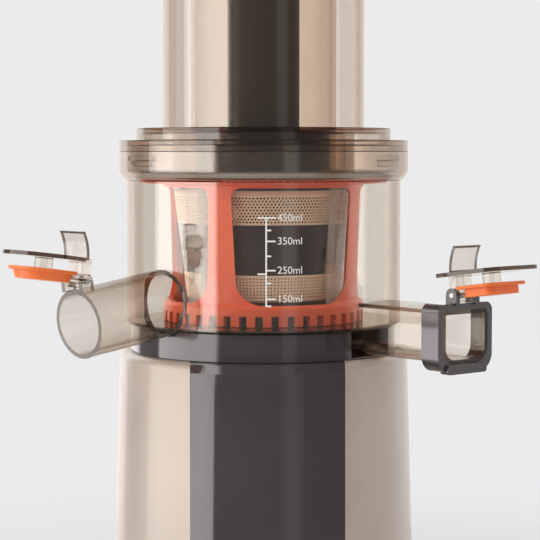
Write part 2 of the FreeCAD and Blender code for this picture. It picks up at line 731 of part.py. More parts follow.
def bowl_floor():
    """Flat floor with the strainer's seats and holes for hub, idlers, pulp and drain."""
    floor = joined(ring(HUB_R, BOWL_IN_R, CAP_TOP_Z, FLOOR_Z), *strainer_seats())
    floor = floor.cut(pulp_drop()).cut(plug_hole())
    for x, y in idler_spots():
        floor = floor.cut(moved(cylinder(IDLER_PIN_R, CAP_TOP_Z - 1, FLOOR_Z + 1), x, y, 0))
    return floor


def bowl_hub():
    return ring(HUB_BORE_R, HUB_R, CAP_TOP_Z, FLOOR_Z + HUB_H)


def plug_hole():
    hole = cylinder(DRAIN_R, CAP_TOP_Z - 1, FLOOR_Z + 1)
    return to_azimuth(moved(hole, DRAIN_REACH, 0, 0), DRAIN_AZIMUTH)


def bowl_floor_plug():
    """Soft plug in the floor's drain hole, with a flange below."""
    stem = cylinder(DRAIN_R, CAP_TOP_Z, FLOOR_Z)
    flange = cylinder(DRAIN_R + DRAIN_FLANGE, CAP_TOP_Z - DRAIN_FLANGE, CAP_TOP_Z)
    return to_azimuth(moved(joined(stem, flange), DRAIN_REACH, 0, 0), DRAIN_AZIMUTH)


def bowl_seal():
    return ring(SHAFT_R + RUN, HUB_BORE_R, FLOOR_Z, FLOOR_Z + HUB_H - 1)


def pulp_collar():
    """Dark frame pushed over the channel's end, with hinge ears and a lower lip."""
    grow = COLLAR_FRAME_T
    width = PULP_W + 2 * grow
    height = PULP_H + grow + COLLAR_FRAME_DROP
    x_low = PULP_REACH - COLLAR_FRAME_L
    low_z = PULP_BOTTOM_Z - COLLAR_FRAME_DROP
    frame = rounded_bar(x_low, PULP_REACH, width, height, PULP_ROUND_LOW, PULP_ROUND_TOP + 2)
    frame = to_azimuth(moved(frame, 0, PULP_OFFSET, low_z), PULP_AZIMUTH)
    ears = at_pulp_hinge(hinge_ears(PULP_HINGE_Z - FRAME_TOP_Z + 1))
    lip = rounded_bar(PULP_REACH - 4, PULP_REACH + LIP_T, width * 0.72, COLLAR_FRAME_DROP + 1, LIP_T, LIP_T)
    lip = to_azimuth(moved(lip, 0, PULP_OFFSET, low_z - 1), PULP_AZIMUTH)
    frame = joined(frame, ears, lip)
    return frame.cut(pulp_channel_bar(0, x_low - 5, PULP_REACH + 0.001)).cut(
        pulp_channel_bar(PULP_WALL, PULP_REACH - 1, PULP_REACH + 10))


# Hinged caps, drawn closed on a local hinge at the origin and then swung open

def thumb_tab(z_root):
    """Curved tab that stands on the plate's outer face."""
    x_root = PLATE_STANDOFF + PLATE_T - 0.5
    x_tip = PLATE_STANDOFF + PLATE_T + TAB_H
    low = [V(x_root, 0, z_root), V((x_root + x_tip) / 2, 0, z_root - TAB_LEAN * 0.25), V(x_tip, 0, z_root - TAB_LEAN)]
    thick = V(-0.5, 0, -PLATE_T * 0.8)
    high = [point.add(thick) for point in low]
    edges = [Part.Arc(*low).toShape(), Part.makeLine(low[2], high[2]),
             Part.Arc(high[2], high[1], high[0]).toShape(), Part.makeLine(high[0], low[0])]
    face = Part.Face(Part.Wire(edges))
    return moved(face.extrude(V(0, TAB_W, 0)), 0, -TAB_W / 2, 0)


def cap_on_hinge(plate, post_r, sink):
    knuckle = across(KNUCKLE_R, KNUCKLE_L)
    web = box(0, PLATE_STANDOFF + PLATE_T, -KNUCKLE_L / 2, KNUCKLE_L / 2, -2.4, KNUCKLE_R)
    post = Part.makeCylinder(post_r, PLATE_STANDOFF + 0.5 - MOUTH_AHEAD - SLIP - PLUG_LIP_T,
                             V(MOUTH_AHEAD + SLIP + PLUG_LIP_T, 0, -sink), V(1, 0, 0))
    cap = joined(knuckle, web, plate, post, thumb_tab(-1.0))
    return cap.cut(across(PIN_R + RUN, KNUCKLE_L + 2))


def swung(shape, angle):
    copy = shape.copy()
    copy.rotate(ORIGIN, V(0, 1, 0), -angle)
    return copy


def juice_cap():
    plate = Part.makeCylinder(JUICE_PLATE_R, PLATE_T, V(PLATE_STANDOFF, 0, -JUICE_SINK), V(1, 0, 0))
    cap = cap_on_hinge(plate, 5.0, JUICE_SINK)
    return at_juice_hinge(swung(cap, JUICE_OPEN_ANGLE))


def juice_cap_plug():
    lip_x = MOUTH_AHEAD + SLIP
    bore_r = JUICE_R - JUICE_WALL
    lip = Part.makeCylinder(JUICE_R - 0.6, PLUG_LIP_T, V(lip_x, 0, -JUICE_SINK), V(1, 0, 0))
    body = Part.makeCone(bore_r - 2.2, bore_r - 0.6, PLUG_DEPTH, V(lip_x - PLUG_DEPTH, 0, -JUICE_SINK), V(1, 0, 0))
    return at_juice_hinge(swung(joined(lip, body), JUICE_OPEN_ANGLE))


def pulp_cap():
    plate = rounded_bar(PLATE_STANDOFF, PLATE_STANDOFF + PLATE_T, PULP_PLATE_W, PULP_PLATE_H, 9, 5)
    plate = moved(plate, 0, 0, -PULP_PLATE_H + 0.6)
    cap = cap_on_hinge(plate, 5.0, PULP_SINK)
    return at_pulp_hinge(swung(cap, PULP_OPEN_ANGLE))


def pulp_cap_plug():
    lip_x = MOUTH_AHEAD + SLIP + LIP_T
    bore_w = PULP_W - 2 * PULP_WALL
    bore_h = PULP_H - 2 * PULP_WALL
    lip = rounded_bar(lip_x - LIP_T, lip_x, bore_w + 2, bore_h + 2, 8, 3)
    lip = moved(lip, 0, 0, -PULP_SINK - bore_h / 2 - 1)
    body = rounded_bar(lip_x - LIP_T - PLUG_DEPTH, lip_x - LIP_T, bore_w - 4, bore_h - 5, 6, 3)
    body = moved(body, 0, 0, -PULP_SINK - bore_h / 2 + 2.5)
    return at_pulp_hinge(swung(joined(lip, body), PULP_OPEN_ANGLE))


def hinge_pin():
    return across(PIN_R, KNUCKLE_L + 2 * SLIP + 2 * EAR_T)


# Gears

def involute_point(base_r, radius, tooth_angle_at_base):
    """Point of an involute flank at a radius, as polar angle from the tooth's middle."""
    roll = math.sqrt(max((radius / base_r) ** 2 - 1, 0))
    return tooth_angle_at_base - (roll - math.atan(roll))


def gear_face(teeth, tooth_width, z):
    """Outline of a spur gear whose first tooth points along +X."""
    pitch_r = MODULE * teeth / 2
    base_r = pitch_r * math.cos(math.radians(20))
    roll = math.tan(math.radians(20))
    half_base = tooth_width / (2 * pitch_r) + (roll - math.radians(20))
    root_r = pitch_r - DEDENDUM
    tip_r = pitch_r + ADDENDUM
    radii = [max(base_r, root_r), pitch_r, tip_r]
    half = [involute_point(base_r, radius, half_base) for radius in radii]
    edges = []

    def polar(radius, angle):
        return V(radius * math.cos(angle), radius * math.sin(angle), z)

    step = 2 * math.pi / teeth
    for k in range(teeth):
        middle = k * step
        root_a = polar(root_r, middle - half[0])
        low_a = polar(radii[0], middle - half[0])
        low_b = polar(radii[0], middle + half[0])
        root_b = polar(root_r, middle + half[0])
        tip_a = polar(tip_r, middle - half[2])
        tip_b = polar(tip_r, middle + half[2])
        if low_a.distanceToPoint(root_a) > 0.01:
            edges.append(Part.makeLine(root_a, low_a))
        edges.append(Part.Arc(low_a, polar(radii[1], middle - half[1]), tip_a).toShape())
        edges.append(Part.makeLine(tip_a, tip_b))
        edges.append(Part.Arc(tip_b, polar(radii[1], middle + half[1]), low_b).toShape())
        if low_b.distanceToPoint(root_b) > 0.01:
            edges.append(Part.makeLine(low_b, root_b))
        edges.append(Part.makeLine(root_b, polar(root_r, middle + step - half[0])))
    return Part.Face(Part.Wire(edges))


def spur_gear(teeth, tooth_width):
    return gear_face(teeth, tooth_width, GEAR_Z).extrude(V(0, 0, GEAR_H))


def idler_gear(number):
    gear = spur_gear(IDLER_TEETH, IDLER_TOOTH)
    gear = gear.cut(cylinder(IDLER_PIN_R + RUN, GEAR_Z - 1, GEAR_Z + GEAR_H + 1))
    gear = turned(gear, IDLER_ANGLE + 180.0 / IDLER_TEETH)
    x, y = idler_spots()[number]
    return moved(gear, x, y, 0)


def idler_pins():
    pin = cylinder(IDLER_PIN_R, CAP_TOP_Z, GEAR_Z + GEAR_H + SLIP)
    return Part.makeCompound([moved(pin, x, y, 0) for x, y in idler_spots()])


# Auger

def flight(start_angle):
    """One helical flight as a swept bar from inside the core to past the strainer."""
    height = AUGER_TOP_Z - FLIGHT_START_Z - FLIGHT_T
    middle = 34.0
    spine = Part.makeHelix(FLIGHT_PITCH, height, middle)
    low, high = 11.0, 60.0
    section = Part.makePolygon([V(low, 0, -FLIGHT_T / 2 - 1.5), V(high, 0, -FLIGHT_T / 2 + 1), V(high, 0, FLIGHT_T / 2 - 1),
                                V(low, 0, FLIGHT_T / 2 + 1.5), V(low, 0, -FLIGHT_T / 2 - 1.5)])
    solid = Part.Wire(spine.Edges).makePipeShell([Part.Wire(section.Edges)], True, True)
    return turned(moved(solid, 0, 0, FLIGHT_START_Z + FLIGHT_T / 2), start_angle)


def strainer_radius(z):
    share = (z - STRAINER_FLOOR_Z) / (STRAINER_TOP_Z - STRAINER_FLOOR_Z)
    return STRAINER_R_LOW + share * (STRAINER_R_TOP - STRAINER_R_LOW)


def auger_envelope():
    inset = STRAINER_WALL + FLIGHT_GAP
    low_z = STRAINER_FLOOR_Z + STRAINER_FLOOR_T + FLIGHT_GAP
    return revolved([(0, low_z), (strainer_radius(low_z) - inset, low_z),
                     (strainer_radius(AUGER_TOP_Z - 14) - inset, AUGER_TOP_Z - 14),
                     (strainer_radius(AUGER_TOP_Z) - inset - 12, AUGER_TOP_Z), (0, AUGER_TOP_Z)])


def auger():
    gear = turned(spur_gear(AUGER_TEETH, AUGER_TOOTH), IDLER_ANGLE)
    low_z = STRAINER_FLOOR_Z + STRAINER_FLOOR_T + FLIGHT_GAP
    gear_top = GEAR_Z + GEAR_H + SLIP
    core = revolved([(0, GEAR_Z + 1), (AUGER_PITCH_R - DEDENDUM, GEAR_Z + 1),
                     (AUGER_PITCH_R - DEDENDUM, gear_top), (AUGER_NECK_R, gear_top),
                     (AUGER_NECK_R, low_z), (AUGER_CORE_R_LOW, low_z + 3), (AUGER_CORE_R_TOP, AUGER_TOP_Z - 8),
                     (AUGER_NOSE_R, AUGER_TOP_Z), (0, AUGER_TOP_Z)])
    flights = [flight(360.0 * k / FLIGHT_COUNT) for k in range(FLIGHT_COUNT)]
    envelope = auger_envelope()
    flights = [piece.common(envelope) for piece in flights]
    body = joined(core, gear, *flights)
    body = body.cut(cylinder(HUB_R + SLIP, GEAR_Z - 1, FLOOR_Z + HUB_H + SLIP))
    return body.cut(hexagon(HEX_AF + HEX_CLEAR, GEAR_Z, SHAFT_TOP_Z + 1.5))


# Strainer

def strainer_shell(depth_out, depth_in, z_low, z_high):
    """A conical band between two depths below the strainer's outside."""
    return revolved([(strainer_radius(z_low) - depth_in, z_low), (strainer_radius(z_low) - depth_out, z_low),
                     (strainer_radius(z_high) - depth_out, z_high), (strainer_radius(z_high) - depth_in, z_high)])


def strainer_frame():
    floor_top = STRAINER_FLOOR_Z + STRAINER_FLOOR_T
    hole_r = AUGER_PITCH_R + ADDENDUM + 1.2
    floor = ring(hole_r, STRAINER_R_LOW - 0.5, STRAINER_FLOOR_Z, floor_top)
    low = strainer_shell(0, STRAINER_WALL, STRAINER_FLOOR_Z, LOWER_MESH_Z[0])
    middle = strainer_shell(0, STRAINER_WALL, LOWER_MESH_Z[1], UPPER_MESH_Z[0])
    top = strainer_shell(0, STRAINER_WALL, UPPER_MESH_Z[1], STRAINER_TOP_Z)
    backing = strainer_shell(MESH_T, STRAINER_WALL, STRAINER_FLOOR_Z, STRAINER_TOP_Z)
    rib = box(0, 80, -RIB_W / 2, RIB_W / 2, STRAINER_FLOOR_Z, STRAINER_TOP_Z)
    ribs = [backing.common(piece) for piece in around(rib, RIB_COUNT, 11)]
    frame = joined(low, floor, middle, top, *ribs)
    return frame.cut(pulp_drop())


def mesh_band(z_range):
    band = strainer_shell(0, MESH_T, *z_range)
    slot = box(0, 80, -MESH_SLOT_W / 2, MESH_SLOT_W / 2, z_range[0] + MESH_SLOT_MARGIN, z_range[1] - MESH_SLOT_MARGIN)
    return band.cut(joined_slots(slot))


def joined_slots(slot):
    hollow = ring(30, 80, 0, 400)
    return Part.makeCompound([piece.common(hollow) for piece in around(slot, MESH_SLOTS, 5)])


# Wiper

def wiper_ring_in():
    """Inside of the slotted ring, clear of the idlers' roots."""
    return WIPER_PITCH_R - ADDENDUM + 0.1


def wiper_shell():
    wall = WIPER_WALL
    flange_z = WIPER_TOP_Z - WIPER_FLANGE_T
    return revolved([(wiper_ring_in(), GEAR_Z), (WIPER_RING_R, GEAR_Z), (WIPER_RING_R, WIPER_RING_TOP_Z),
                     (WIPER_R_LOW, WIPER_FLARE_Z), (WIPER_R_TOP, flange_z), (WIPER_FLANGE_R, flange_z + 1),
                     (WIPER_FLANGE_R, WIPER_TOP_Z), (WIPER_R_TOP - wall, WIPER_TOP_Z),
                     (WIPER_R_LOW - wall, WIPER_FLARE_Z)])


def window_prism():
    """One tapered window with round corners, as a bar along local X."""
    z_low, z_high = WINDOW_Z
    a, b = WINDOW_HALF_LOW, WINDOW_HALF_TOP
    r_low, r_top = WINDOW_ROUND_LOW, WINDOW_ROUND_TOP
    x = wiper_ring_in() - 14
    dip = 1 - math.sqrt(0.5)
    edges = [
        Part.makeLine(V(x, -a + r_low, z_low), V(x, a - r_low, z_low)),
        Part.Arc(V(x, a - r_low, z_low), V(x, a - r_low * dip, z_low + r_low * dip), V(x, a, z_low + r_low)).toShape(),
        Part.makeLine(V(x, a, z_low + r_low), V(x, b, z_high - r_top)),
        Part.Arc(V(x, b, z_high - r_top), V(x, b - r_top * dip, z_high - r_top * dip),
                 V(x, b - r_top, z_high)).toShape(),
        Part.makeLine(V(x, b - r_top, z_high), V(x, -b + r_top, z_high)),
        Part.Arc(V(x, -b + r_top, z_high), V(x, -b + r_top * dip, z_high - r_top * dip),
                 V(x, -b, z_high - r_top)).toShape(),
        Part.makeLine(V(x, -b, z_high - r_top), V(x, -a, z_low + r_low)),
        Part.Arc(V(x, -a, z_low + r_low), V(x, -a + r_low * dip, z_low + r_low * dip),
                 V(x, -a + r_low, z_low)).toShape(),
    ]
    return Part.Face(Part.Wire(edges)).extrude(V(60, 0, 0))


def window_turns():
    return [WINDOW_AZIMUTH - 90.0 + 360.0 * k / WINDOW_COUNT for k in range(WINDOW_COUNT)]


def wiper_frame():
    frame = wiper_shell()
    prism = window_prism().common(ring(wiper_ring_in() - 12, WIPER_R_TOP + 4, CAP_TOP_Z, LID_TOP_Z))
    for angle in window_turns():
        frame = frame.cut(turned(prism, angle))
    slot = box(wiper_ring_in() - 3, WIPER_RING_R + 3, -WIPER_SLOT_W / 2, WIPER_SLOT_W / 2,
               GEAR_Z - 1, GEAR_Z + GEAR_H)
    slots = around(slot, WIPER_TEETH, IDLER_ANGLE + 180.0 / WIPER_TEETH)
    return frame.cut(Part.makeCompound(slots))


def wiper_blades():
    """Soft strips that fill one side of each window, each with an inner lip."""
    prism = window_prism()
    middle = (BLADE_FROM + BLADE_TO) / 2
    half = (BLADE_TO - BLADE_FROM) / 2
    reach = WIPER_FLANGE_R * 1.3
    side = reach * math.tan(math.radians(half))
    wedge = flat_face([(0, 0, CAP_TOP_Z), (reach, -side, CAP_TOP_Z), (reach, side, CAP_TOP_Z)])
    wedge = wedge.extrude(V(0, 0, LID_TOP_Z - CAP_TOP_Z))
    strip = wiper_shell().common(prism).common(turned(wedge, middle))
    z_low = WIPER_FLARE_Z + 6
    z_high = WINDOW_Z[1] - 2
    reach_low = WIPER_R_LOW - WIPER_WALL + 1
    reach_high = WIPER_R_TOP - WIPER_WALL + 0.5
    lip = flat_face([(strainer_radius(z_low) + SLIP, -BLADE_T / 2, z_low), (reach_low, -BLADE_T / 2, z_low),
                     (reach_high, -BLADE_T / 2, z_high), (strainer_radius(z_high) + SLIP, -BLADE_T / 2, z_high)])
    lip = turned(lip.extrude(V(0, BLADE_T, 0)), middle)
    blade = joined(strip, lip)
    return Part.makeCompound([turned(blade, angle) for angle in window_turns()])


# Lid, chute and pusher

def lid():
    flange_top = BOWL_RIM_Z + LID_FLANGE_H
    top = LID_TOP_Z
    rim = ring(LID_FLANGE_R - LID_T, LID_FLANGE_R, BOWL_RIM_Z, flange_top)
    flange = ring(LID_DISC_R - LID_T, LID_FLANGE_R, flange_top - LID_T, flange_top)
    wall = ring(LID_DISC_R - LID_T, LID_DISC_R, flange_top - LID_T, top)
    disc = ring(TUBE_R, LID_DISC_R, top - LID_T, top)
    skirt = ring(SKIRT_R - SKIRT_WALL, SKIRT_R, BOWL_RIM_Z - SKIRT_DEPTH, flange_top - 1)
    holder = ring(TUBE_R + HOLDER_GAP, STRAINER_R_TOP, STRAINER_TOP_Z + SLIP, top - 1)
    ledge_low = BOWL_RIM_Z - LEDGE_TOP_DROP - LEDGE_T
    lug = ring(SKIRT_R - 1, COLLAR_IN_R - LUG_GAP, ledge_low - LUG_GAP - 3, ledge_low - LUG_GAP)
    return joined(rim, flange, wall, disc, skirt, holder, *sectors(lug, LUG_HALF, LUG_COUNT))


def lid_seal():
    low = BOWL_RIM_Z - SKIRT_DEPTH - LID_SEAL_H
    outer = BOWL_IN_R - SLIP
    return ring(outer - LID_SEAL_W, outer, low, low + LID_SEAL_H)


def feed_chute():
    wall = ring(CHUTE_R - CHUTE_WALL, CHUTE_R, LID_TOP_Z, CHUTE_TOP_Z)
    rim = ring(TUBE_R, CHUTE_R, CHUTE_TOP_Z - CHUTE_RIM_T, CHUTE_TOP_Z)
    return joined(wall, rim)


def feed_tube():
    return ring(TUBE_R_IN, TUBE_R, TUBE_BOTTOM_Z, CHUTE_TOP_Z)


def pusher():
    foot_top = PUSHER_FOOT_Z + PUSHER_FOOT_H
    foot = ring(PUSHER_FOOT_R - PUSHER_FOOT_T, PUSHER_FOOT_R, PUSHER_FOOT_Z, foot_top)
    sole = cylinder(PUSHER_FOOT_R, PUSHER_FOOT_Z, PUSHER_FOOT_Z + PUSHER_FOOT_T)
    web = ring(PUSHER_STEM_R - 1, PUSHER_FOOT_R, foot_top - PUSHER_FOOT_T, foot_top)
    stem = ring(PUSHER_STEM_R - PUSHER_STEM_WALL, PUSHER_STEM_R, PUSHER_FOOT_Z, CHUTE_TOP_Z + 2)
    top = CHUTE_TOP_Z + PUSHER_CAP_H
    soft = PUSHER_CAP_ROUND
    cap = revolved([(0, CHUTE_TOP_Z), (PUSHER_CAP_R, CHUTE_TOP_Z), (PUSHER_CAP_R, top - soft),
                    (PUSHER_CAP_R - soft, top), (PUSHER_STEM_R + soft, top), (PUSHER_STEM_R, top - soft),
                    (0, top - soft - 1)])
    return joined(foot, sole, web, stem, cap)


PIECES = {
    "base_housing": base_housing,
    "front_panel": front_panel,
    "base_top_cap": base_top_cap,
    "bottom_cover": bottom_cover,
    "foot_ring": foot_ring,
    "cover_screws": cover_screws,
    "gearbox_case": gearbox_case,
    "gearbox_screws": lambda: Part.makeCompound(gearbox_screw_shapes()),
    "motor": motor,
    "control_board": control_board,
    "shaft_bearing": shaft_bearing,
    "shaft_seal": shaft_seal,
    "drive_shaft": drive_shaft,
    "switch_bezel": switch_bezel,
    "switch_rocker": switch_rocker,
    "cord_gland": cord_gland,
    "juicing_bowl": juicing_bowl,
    "bowl_floor": bowl_floor,
    "bowl_hub": bowl_hub,
    "juice_spout": juice_spout,
    "pulp_channel": pulp_channel,
    "bowl_seal": bowl_seal,
    "bowl_floor_plug": bowl_floor_plug,
    "pulp_collar": pulp_collar,
    "juice_cap": juice_cap,
    "juice_cap_plug": juice_cap_plug,
    "juice_cap_pin": lambda: at_juice_hinge(hinge_pin()),
    "pulp_cap": pulp_cap,
    "pulp_cap_plug": pulp_cap_plug,
    "pulp_cap_pin": lambda: at_pulp_hinge(hinge_pin()),
    "idler_gear_a": lambda: idler_gear(0),
    "idler_gear_b": lambda: idler_gear(1),
    "idler_pins": idler_pins,
    "auger": auger,
    "strainer_frame": strainer_frame,
    "strainer_upper_mesh": lambda: mesh_band(UPPER_MESH_Z),
    "strainer_lower_mesh": lambda: mesh_band(LOWER_MESH_Z),
    "wiper_frame": wiper_frame,
    "wiper_blades": wiper_blades,
    "lid": lid,
    "lid_seal": lid_seal,
    "feed_chute": feed_chute,
    "feed_tube": feed_tube,
    "pusher": pusher,
}


def main():
    os.makedirs("parts", exist_ok=True)
    for name, make in PIECES.items():
        shape = make()
        shape.exportStep("parts/" + name + ".step")
        print(name, len(shape.Solids), round(shape.Volume), shape.isValid())


main()
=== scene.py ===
import json
import math

import bmesh
import bpy
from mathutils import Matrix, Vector


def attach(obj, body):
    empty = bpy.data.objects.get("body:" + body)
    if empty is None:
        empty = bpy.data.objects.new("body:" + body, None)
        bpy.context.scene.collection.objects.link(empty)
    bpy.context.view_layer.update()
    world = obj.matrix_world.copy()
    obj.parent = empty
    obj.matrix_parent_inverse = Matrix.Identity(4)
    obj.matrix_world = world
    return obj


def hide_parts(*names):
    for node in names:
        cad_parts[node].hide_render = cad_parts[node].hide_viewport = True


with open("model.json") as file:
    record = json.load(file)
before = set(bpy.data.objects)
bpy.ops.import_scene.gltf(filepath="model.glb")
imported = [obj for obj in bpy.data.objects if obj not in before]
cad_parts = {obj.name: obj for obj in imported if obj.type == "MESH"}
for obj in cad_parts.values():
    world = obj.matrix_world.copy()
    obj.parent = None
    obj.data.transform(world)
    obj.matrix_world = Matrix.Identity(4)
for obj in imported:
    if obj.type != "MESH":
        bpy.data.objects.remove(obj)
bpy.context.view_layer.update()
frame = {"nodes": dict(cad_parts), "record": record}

# Lengths are in metres and angles in degrees, except for the lens and its sensor, which are in millimetres

# Camera, from the vanishing of the rims and the spacing of the two spouts
CAMERA_DISTANCE = 1.100
CAMERA_HEIGHT = 0.319
CAMERA_TURN = 1.8
CAMERA_PITCH = 3.75
CAMERA_LENS = 122.2
CAMERA_SENSOR = 36.0
CAMERA_CLIP = 0.05
AXIS_LEFT = 0.0039

# Skins of the nodes: facets that are joined, edges that stay hard, and how these are rounded
WELD = 3e-6
FLAT_ANGLE = 0.5
SMOOTH_ANGLE = 28
BEVEL_ANGLE = 40
BEVEL_WIDTH = 0.0003
BEVEL_SEGMENTS = 2
NOT_ROUNDED = {"auger", "wiper_blades", "strainer_frame"}
MADE_APART = {"strainer_upper_mesh", "strainer_lower_mesh"}

# Clear mouldings: how narrow a rim is, how high rims are marked, and the lid's neck, which is given a dimmer
# copy of the lid's material as painted shade
RIM_WIDTH = 0.0028
BAYONET_Z = 0.302
LID_NECK_RADIUS = 0.062

# Strainer: two places on its cone as height and radius, its bands from bottom to top, and their holes
STRAINER_LOW = (0.2250, 0.0452)
STRAINER_TOP = (0.3020, 0.0545)
UPPER_MESH = (0.2757, 0.2955)
LOWER_MESH = (0.2310, 0.2466)
UPPER_HOLES = {"zone": (0.2766, 0.2921), "columns": 158, "rows": 9, "hole_r": 0.00062, "staggered": True}
LOWER_HOLES = {"zone": (0.2325, 0.2455), "columns": 146, "rows": 7, "hole_r": 0.00044, "staggered": False}
HOLE_SIDES = 8
CELL_WELD = 4e-6
SHEET_T = 0.0005

# Slits down the two seams of the upper band, drawn as dark plates whose colour is painted shade for the
# inside of each slit
SEAM_TURN = 55.0
SLIT_COUNT = 5
SLIT_FIRST = 0.0025
SLIT_PITCH = 0.0034
SLIT_H = 0.0020
SLIT_HALF_W = 0.0006
SLIT_LIFTS = (0.0005, 0.0008)

# Measuring scale, printed round the front of the bowl
BOWL_RADIUS = 0.082
PRINT_LIFT = 0.00008
BEND_STEP = 0.001
SCALE_X = -0.0011
LINE_HALF = 0.00045
LONG_TICKS = (0.2813, 0.2682, 0.2519, 0.2359)
SHORT_TICKS = (0.2743, 0.2599, 0.2448, 0.2320)
LEFT_TICKS = (0.2813, 0.2499)
LONG_TICK_L = 0.0053
SHORT_TICK_L = 0.0028
LEFT_TICK_L = 0.0048
VOLUMES = ("450ml", "350ml", "250ml", "150ml")
NUMBER_FROM = 0.0062
NUMBER_SIZE = 0.0058

# Opaque surfaces: how fast colour and gloss drift, and how deep the grain is
DRIFT_STOPS = (0.3, 0.7)
DRIFT_SCALE = 14.0
WEAR_SCALE = 60.0
WEAR_SHARE = 0.15
COAT_ROUGHNESS = 0.04
GRAIN_DEPTH = 0.0002
SUBSURFACE_RADIUS = (0.006, 0.003, 0.0015)

# Clear surfaces: haze, the glossy skin with its ripple, and what the depth of the plastic absorbs
HAZE_SCALE = 18.0
HAZE_SPREAD = 0.1
SKIN_ROUGHNESS = 0.03
SKIN_COLOR = (1.0, 0.98, 0.95, 1.0)
RIPPLE_SCALE = 9.0
RIPPLE_STRENGTH = 0.12
RIPPLE_DEPTH = 0.0004
GLANCING_POWER = 5.0
GLANCING_GLOSS = 0.7
ABSORB_COLOR = (0.72, 0.56, 0.44, 1.0)
CLEAR_LAYERS = 64

# Floor, which fades into the background between two distances from the axis
FLOOR_RADIUS = 0.75
FLOOR_SIDES = 96
FLOOR_FADE = (0.16, 0.70)
FLOOR_LEVEL = 251
BACKGROUND_LEVEL = 235

# Lamps: name, azimuth (0 is the front, positive to +X), distance, height, width, tallness and watts
LAMPS = (
    ("left_soft_box", -71, 1.3, 0.42, 1.4, 1.5, 9.5),
    ("right_soft_box", 75, 1.3, 0.42, 1.0, 1.4, 1.5),
    ("top_soft_box", -20, 1.0, 1.5, 0.9, 0.9, 5.0),
)
LAMP_AIM_Z = 0.26
FILL_COLOR = (1.0, 0.98, 0.96, 1.0)
FILL_STRENGTH = 0.6

# Studio that only gloss sees: brightness by azimuth, over a band of heights, and above and below that band
BOX_STRENGTH = 3.8
STUDIO_RING = (
    (-180, 1.2), (-142, 2.2), (-134, 0.25), (-104, 0.25), (-102, BOX_STRENGTH), (-43, BOX_STRENGTH),
    (-40, 0.22), (12, 0.22), (16, 0.5), (24, 0.5), (28, 0.18), (72, 0.18), (76, 0.75), (118, 0.9),
    (124, 1.3), (180, 1.2),
)
STUDIO_BAND = ((0.0, 0), (0.28, 0), (0.30, 1), (0.84, 1), (0.86, 0), (1.0, 0))
STUDIO_REST = 0.5
STUDIO_WARMTH = (1.0, 0.985, 0.97)


# Node helpers

def linear(red, green, blue):
    """sRGB values of 0 to 255 as a linear colour."""
    def one(value):
        share = value / 255.0
        return share / 12.92 if share <= 0.04045 else ((share + 0.055) / 1.055) ** 2.4
    return (one(red), one(green), one(blue), 1.0)


def shade(color, factor):
    return tuple(channel * factor for channel in color[:3]) + (1.0,)


def new_material(name):
    material = bpy.data.materials.new(name)
    material.use_nodes = True
    nodes = material.node_tree.nodes
    nodes.clear()
    output = nodes.new("ShaderNodeOutputMaterial")
    return material, nodes, material.node_tree.links, output


def add_noise(nodes, links, scale, detail=3.0):
    place = nodes.new("ShaderNodeTexCoord")
    noise = nodes.new("ShaderNodeTexNoise")
    noise.inputs["Scale"].default_value = scale
    noise.inputs["Detail"].default_value = detail
    links.new(place.outputs["Object"], noise.inputs["Vector"])
    return noise


def add_ramp(nodes, stops):
    ramp = nodes.new("ShaderNodeValToRGB")
    ramp.color_ramp.elements[0].position = stops[0][0]
    ramp.color_ramp.elements[0].color = stops[0][1]
    ramp.color_ramp.elements[1].position = stops[-1][0]
    ramp.color_ramp.elements[1].color = stops[-1][1]
    for position, color in stops[1:-1]:
        ramp.color_ramp.elements.new(position).color = color
    return ramp


def add_range(nodes, links, source, ends):
    """A Map Range node; the ends that aren't named stay at 0 and 1."""
    node = nodes.new("ShaderNodeMapRange")
    for name, value in ends.items():
        node.inputs[name].default_value = value
    links.new(source, node.inputs["Value"])
    return node


def add_math(nodes, links, operation, *operands):
    """A Math node on outputs and numbers."""
    node = nodes.new("ShaderNodeMath")
    node.operation = operation
    for socket, operand in zip(node.inputs, operands):
        if isinstance(operand, float):
            socket.default_value = operand
        else:
            links.new(operand, socket)
    return node.outputs["Value"]


def mixed(nodes, links, first, second, share):
    """A Mix Shader; the share of the second is a number or an output."""
    node = nodes.new("ShaderNodeMixShader")
    if isinstance(share, float):
        node.inputs["Fac"].default_value = share
    else:
        links.new(share, node.inputs["Fac"])
    links.new(first, node.inputs[1])
    links.new(second, node.inputs[2])
    return node.outputs["Shader"]


def add_drift(nodes, links, socket, color, spread, scale):
    """Lets a colour drift by a share of its brightness over the surface."""
    noise = add_noise(nodes, links, scale)
    tone = add_ramp(nodes, [(DRIFT_STOPS[0], shade(color, 1.0 - spread)),
                            (DRIFT_STOPS[1], shade(color, 1.0 + spread))])
    links.new(noise.outputs["Fac"], tone.inputs["Fac"])
    links.new(tone.outputs["Color"], socket)


def add_relief(nodes, links, shader, scale, detail, strength, depth):
    """Fine relief from noise on a shader's normal."""
    noise = add_noise(nodes, links, scale, detail)
    relief = nodes.new("ShaderNodeBump")
    relief.inputs["Strength"].default_value = strength
    relief.inputs["Distance"].default_value = depth
    links.new(noise.outputs["Fac"], relief.inputs["Height"])
    links.new(relief.outputs["Normal"], shader.inputs["Normal"])


# Materials

